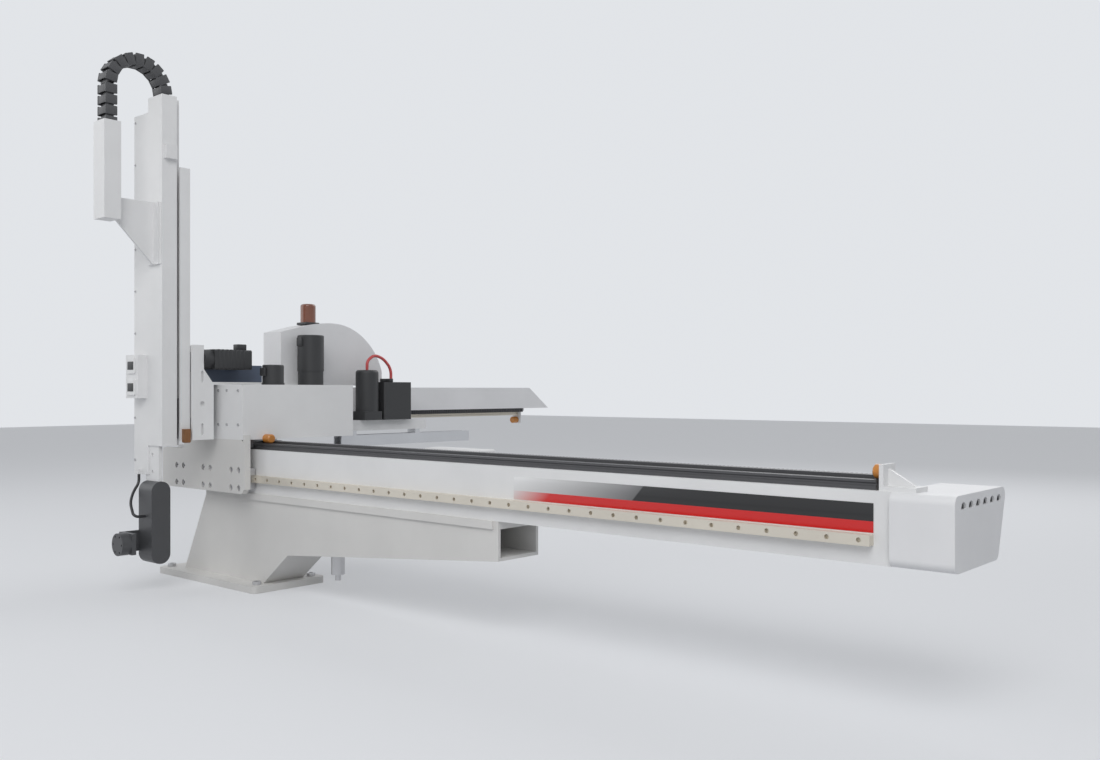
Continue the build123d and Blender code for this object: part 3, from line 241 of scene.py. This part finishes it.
def graphicPaint():
    material, tree, shader = newMaterial("graphicPaint")
    shader.inputs["Coat Weight"].default_value = graphic["coat"]
    shader.inputs["Roughness"].default_value = graphic["rough"]
    place = addNode(tree, "TexCoord")
    split = addNode(tree, "SeparateXYZ")
    tree.links.new(place.outputs["Object"], split.inputs["Vector"])
    slant = addNode(tree, "Math", {1: -graphic["slant"]})
    slant.operation = "MULTIPLY_ADD"
    tree.links.new(split.outputs["Z"], slant.inputs[0])
    tree.links.new(split.outputs["X"], slant.inputs[2])
    along = addNode(tree, "MapRange", {"From Min": graphic["low"][0] - graphic["lean"],
                                       "From Max": graphic["blackFrom"] - graphic["lean"]})
    tree.links.new(slant.outputs["Value"], along.inputs["Value"])
    fade = colourRamp(tree, graphic["white"], graphic["grey"], lastAt=graphic["greyAt"])
    fade.color_ramp.elements.new(graphic["blackAt"]).color = graphic["black"]
    tree.links.new(along.outputs["Result"], fade.inputs["Fac"])
    redFade = colourRamp(tree, graphic["white"], graphic["red"], lastAt=graphic["redAt"])
    tree.links.new(along.outputs["Result"], redFade.inputs["Fac"])
    below = addNode(tree, "Math", {1: graphic["stripe"]})
    below.operation = "LESS_THAN"
    tree.links.new(split.outputs["Z"], below.inputs[0])
    choose = addNode(tree, "Mix")
    choose.data_type = "RGBA"
    tree.links.new(below.outputs["Value"], choose.inputs["Factor"])
    tree.links.new(fade.outputs["Color"], choose.inputs["A"])
    tree.links.new(redFade.outputs["Color"], choose.inputs["B"])
    tree.links.new(choose.outputs["Result"], shader.inputs["Base Color"])
    return material


beamGraphic = bevelledBlock("beamGraphic", graphic["low"], graphic["high"], graphic["edge"],
                            graphicPaint())
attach(beamGraphic, "base")
print("beam graphic")


# cable chain: two straight runs that stretch between the bodies they join, and the bend on top
chain = {"x": 0.030, "width": 0.050, "thick": 0.034, "pitch": 0.030, "radius": 0.082,
         "innerY": -0.274, "spring": 1.445, "innerFoot": 0.600, "outerFoot": 1.080, "bendLinks": 9}
# one link: side cheeks, cross bars and a hub that reaches into the next link
link = {"cheekHalf": 0.003, "cheekFoot": 0.0005, "cheekHead": 0.004,
        "barHalf": 0.0015, "barIn": 0.004, "barSet": 0.002, "barFoot": 0.003, "barHead": 0.007,
        "hubIn": 0.005, "hubSet": 0.008, "hubFoot": 0.009, "hubReach": 0.003,
        "edge": 0.0012, "barEdge": 0.0007}


def chainLink(name):
    # at the origin, along Z
    halfWidth, halfThick, halfPitch = chain["width"] / 2, chain["thick"] / 2, chain["pitch"] / 2
    finish = made["chain_grey"]
    parts = []
    for side in (-1, 1):
        x = side * (halfWidth - link["cheekHalf"])
        low = (x - link["cheekHalf"], -halfThick, -halfPitch + link["cheekFoot"])
        high = (x + link["cheekHalf"], halfThick, halfPitch - link["cheekHead"])
        parts.append(bevelledBlock("cheek", low, high, link["edge"], finish))
    for side in (-1, 1):
        y = side * (halfThick - link["barSet"])
        low = (-halfWidth + link["barIn"], y - link["barHalf"], -halfPitch + link["barFoot"])
        high = (halfWidth - link["barIn"], y + link["barHalf"], halfPitch - link["barHead"])
        parts.append(bevelledBlock("bar", low, high, link["barEdge"], finish))
    low = (-halfWidth + link["hubIn"], -halfThick + link["hubSet"], halfPitch - link["hubFoot"])
    high = (halfWidth - link["hubIn"], halfThick - link["hubSet"], halfPitch + link["hubReach"])
    parts.append(bevelledBlock("hub", low, high, link["edge"], finish))
    return joinPieces(name, parts)


def chainRun(name, pattern, y, foot):
    # whole links from the foot to the height where the bend springs
    rise = chain["spring"] - foot
    count = round(rise / chain["pitch"])
    step = rise / count
    squeeze = Matrix.Scale(step / chain["pitch"], 4, (0, 0, 1))
    copies = [copyAt(pattern, Matrix.Translation((chain["x"], y, foot + (i + 0.5) * step)) @ squeeze)
              for i in range(count)]
    return joinPieces(name, copies)


def chainBend(name, pattern, middleY):
    turn = math.pi / chain["bendLinks"]
    squeeze = Matrix.Scale(chain["radius"] * turn / chain["pitch"], 4, (0, 0, 1))
    copies = []
    for i in range(chain["bendLinks"]):
        angle = turn * (i + 0.5)
        spot = (chain["x"], middleY + chain["radius"] * math.cos(angle),
                chain["spring"] + chain["radius"] * math.sin(angle))
        copies.append(copyAt(pattern, Matrix.Translation(spot) @ Matrix.Rotation(angle, 4, "X") @ squeeze))
    return joinPieces(name, copies)


linkPattern = chainLink("linkPattern")
middleY = chain["innerY"] - chain["radius"]
outerY = chain["innerY"] - 2 * chain["radius"]
innerRun = chainRun("chainInner", linkPattern, chain["innerY"], chain["innerFoot"])
outerRun = chainRun("chainOuter", linkPattern, outerY, chain["outerFoot"])
bendRing = chainBend("chainRing", linkPattern, middleY)
bpy.data.objects.remove(linkPattern)
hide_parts("chain_inner_run")
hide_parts("chain_outer_run")
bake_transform(innerRun)
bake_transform(outerRun)
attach(bendRing, "stage_1")
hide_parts("chain_bend")
print("cable chain")


# screws: one row of heads for each plate, cover or casting that they hold
up = (0, 0, 1)
front = (0, -1, 0)
guideBlocks = {"x": (-0.149, 0.006, 0.161), "z": 0.325, "screwX": 0.020, "screwZ": 0.0265}
blockScrewX = [x + side * guideBlocks["screwX"] for x in guideBlocks["x"] for side in (-1, 1)]
blockScrewZ = [guideBlocks["z"] + side * guideBlocks["screwZ"] for side in (-1, 1)]
coverRow = {"foot": 0.38, "pitch": 0.125, "count": 9}
coverScrewZ = [coverRow["foot"] + coverRow["pitch"] * k for k in range(coverRow["count"])]
screwRows = [
    {"body": "base", "x": (-0.24, 0.24), "y": (-0.095, 0.095), "z": (0.020,),
     "axis": up, "radius": 0.013, "height": 0.010},
    {"body": "carriage", "x": blockScrewX, "y": (-0.109,), "z": blockScrewZ,
     "axis": front, "radius": 0.0072, "height": 0.006},
    {"body": "carriage", "x": (0.075, 0.120, 0.180, -0.235, -0.165, -0.095), "y": (-0.118,),
     "z": (0.485, 0.586), "axis": front, "radius": 0.004, "height": 0.003},
    {"body": "ram", "x": (-0.080, -0.062), "y": (-0.185,), "z": (0.46, 0.58, 0.70),
     "axis": front, "radius": 0.0045, "height": 0.004},
    {"body": "stage_2", "x": (-0.086,), "y": (-0.297,), "z": coverScrewZ,
     "axis": front, "radius": 0.0035, "height": 0.0025},
]


def rowOfHeads(row):
    return [capScrew("head", (x, y, z), row["axis"], row["radius"], row["height"], made["bright_steel"])
            for x in row["x"] for y in row["y"] for z in row["z"]]


for body in ("base", "carriage", "ram", "stage_2"):
    heads = [head for row in screwRows if row["body"] == body for head in rowOfHeads(row)]
    group = joinPieces(body + "Screws", heads)
    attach(group, body)
print("screws")


# dark fittings: each one rides on its body and takes the motors' finish
def rideDark(piece, body):
    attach(piece, body)


plugEdge = 0.002
connectors = {
    "armServoPlug": ("ram", (0.046, -0.052, 0.709), (0.074, -0.022, 0.727)),
    "ramServoPlug": ("carriage", (0.070, 0.162, 0.728), (0.096, 0.170, 0.756)),
    "traverseServoPlug": ("carriage", (0.138, -0.019, 0.630), (0.162, -0.011, 0.655)),
    "valvePlug": ("carriage", (0.100, 0.480, 0.614), (0.150, 0.498, 0.626)),
}
for name, (body, low, high) in connectors.items():
    rideDark(bevelledBlock(name, low, high, plugEdge, made["motor_black"]), body)

# ribs round the arm's motor, spaced along Y
ribs = {"count": 7, "firstY": -0.128, "pitch": 0.014, "thick": 0.006, "x": (0.0295, 0.0905),
        "z": (0.6485, 0.7095), "edge": 0.001}
ribPieces = []
for i in range(ribs["count"]):
    y = ribs["firstY"] + i * ribs["pitch"]
    ribPieces.append(bevelledBlock("rib", (ribs["x"][0], y, ribs["z"][0]),
                                   (ribs["x"][1], y + ribs["thick"], ribs["z"][1]),
                                   ribs["edge"], made["motor_black"]))
rideDark(joinPieces("servoRibs", ribPieces), "ram")
print("motor details")

# dark collar round the lamp's foot, down to the cover's curved crown
collar = {"low": (-0.040, 0.240, 0.8035), "high": (0.014, 0.294, 0.8120), "edge": 0.002}
lampCollar = bevelledBlock("lampCollar", collar["low"], collar["high"], collar["edge"], made["motor_black"])
rideDark(lampCollar, "carriage")

# gauge windows: a dark display on each gauge
gauge = {"middleZ": (0.595, 0.6585), "halfHeight": 0.012, "x": (-0.070, -0.036),
         "y": (-0.3300, -0.3288), "edge": 0.0006}
for number, z in enumerate(gauge["middleZ"]):
    low = (gauge["x"][0], gauge["y"][0], z - gauge["halfHeight"])
    high = (gauge["x"][1], gauge["y"][1], z + gauge["halfHeight"])
    window = bevelledBlock(f"gaugeWindow{number}", low, high, gauge["edge"], made["motor_black"])
    rideDark(window, "stage_2")
print("lamp and gauges")


# floor, backdrop and soft studio light
def linkSeenRays(tree, socket):
    # one for a ray from the eye, a reflection or glass, so what it switches lights nothing
    rays = addNode(tree, "LightPath")
    for ray in ("Is Camera Ray", "Is Glossy Ray", "Is Transmission Ray"):
        either = addNode(tree, "Math", {1: 0.0})
        either.operation = "MAXIMUM"
        tree.links.new(rays.outputs[ray], either.inputs[0])
        tree.links.new(either.outputs["Value"], socket)
        socket = either.inputs[1]


# the glow is what eyes and reflections see on top of the lit floor
ground = {"size": 30, "place": (0.8, 1.0, -0.0005), "colour": (0.62, 0.63, 0.65, 1), "rough": 0.9,
          "glow": (0.80, 0.81, 0.83, 1), "glowStrength": 0.26}


def floorPaint():
    material, tree, shader = newMaterial("floorPaint")
    shader.inputs["Base Color"].default_value = ground["colour"]
    shader.inputs["Roughness"].default_value = ground["rough"]
    glow = addNode(tree, "Emission", {"Color": ground["glow"], "Strength": ground["glowStrength"]})
    lifted = addNode(tree, "AddShader")
    tree.links.new(shader.outputs["BSDF"], lifted.inputs[0])
    tree.links.new(glow.outputs["Emission"], lifted.inputs[1])
    shown = addNode(tree, "MixShader")
    tree.links.new(shader.outputs["BSDF"], shown.inputs[1])
    tree.links.new(lifted.outputs["Shader"], shown.inputs[2])
    linkSeenRays(tree, shown.inputs["Fac"])
    tree.links.new(shown.outputs["Shader"], tree.nodes["Material Output"].inputs["Surface"])
    return material


clearSelection()
bpy.ops.mesh.primitive_plane_add(size=ground["size"], location=ground["place"])
floor = bpy.context.active_object
floor.name = "floor"
floor.data.materials.append(floorPaint())

# soft lamps, all aimed at the middle of the robot
lampAim = Vector((0.7, 0.2, 0.5))
lamps = {
    "keyLight": {"place": (3.2, -3.0, 3.6), "power": 95.0, "size": 3.0},
    "fillLight": {"place": (-2.8, -2.6, 2.4), "power": 38.0, "size": 3.5},
    "backLight": {"place": (0.5, 4.0, 3.2), "power": 45.0, "size": 3.0},
}
for name, lamp in lamps.items():
    data = bpy.data.lights.new(name, "AREA")
    data.energy = lamp["power"]
    data.size = lamp["size"]
    light = bpy.data.objects.new(name, data)
    light.location = lamp["place"]
    light.rotation_euler = (lampAim - Vector(lamp["place"])).to_track_quat("-Z", "Y").to_euler()
    bpy.context.scene.collection.objects.link(light)

# the world lights the object with its ambient part and shows the paler backdrop
studio = {"ambient": (0.80, 0.82, 0.85, 1), "ambientStrength": 0.42, "backdrop": (0.76, 0.78, 0.81, 1)}
world = bpy.data.worlds.new("studioWorld")
bpy.context.scene.world = world
world.use_nodes = True
worldTree = world.node_tree
ambient = worldTree.nodes["Background"]
ambient.inputs["Color"].default_value = studio["ambient"]
ambient.inputs["Strength"].default_value = studio["ambientStrength"]
backdrop = addNode(worldTree, "Background", {"Color": studio["backdrop"]})
seen = addNode(worldTree, "MixShader")
linkSeenRays(worldTree, seen.inputs["Fac"])
worldTree.links.new(ambient.outputs["Background"], seen.inputs[1])
worldTree.links.new(backdrop.outputs["Background"], seen.inputs[2])
worldTree.links.new(seen.outputs["Shader"], worldTree.nodes["World Output"].inputs["Surface"])
bpy.context.scene.view_settings.view_transform = "Standard"
print("light and floor")
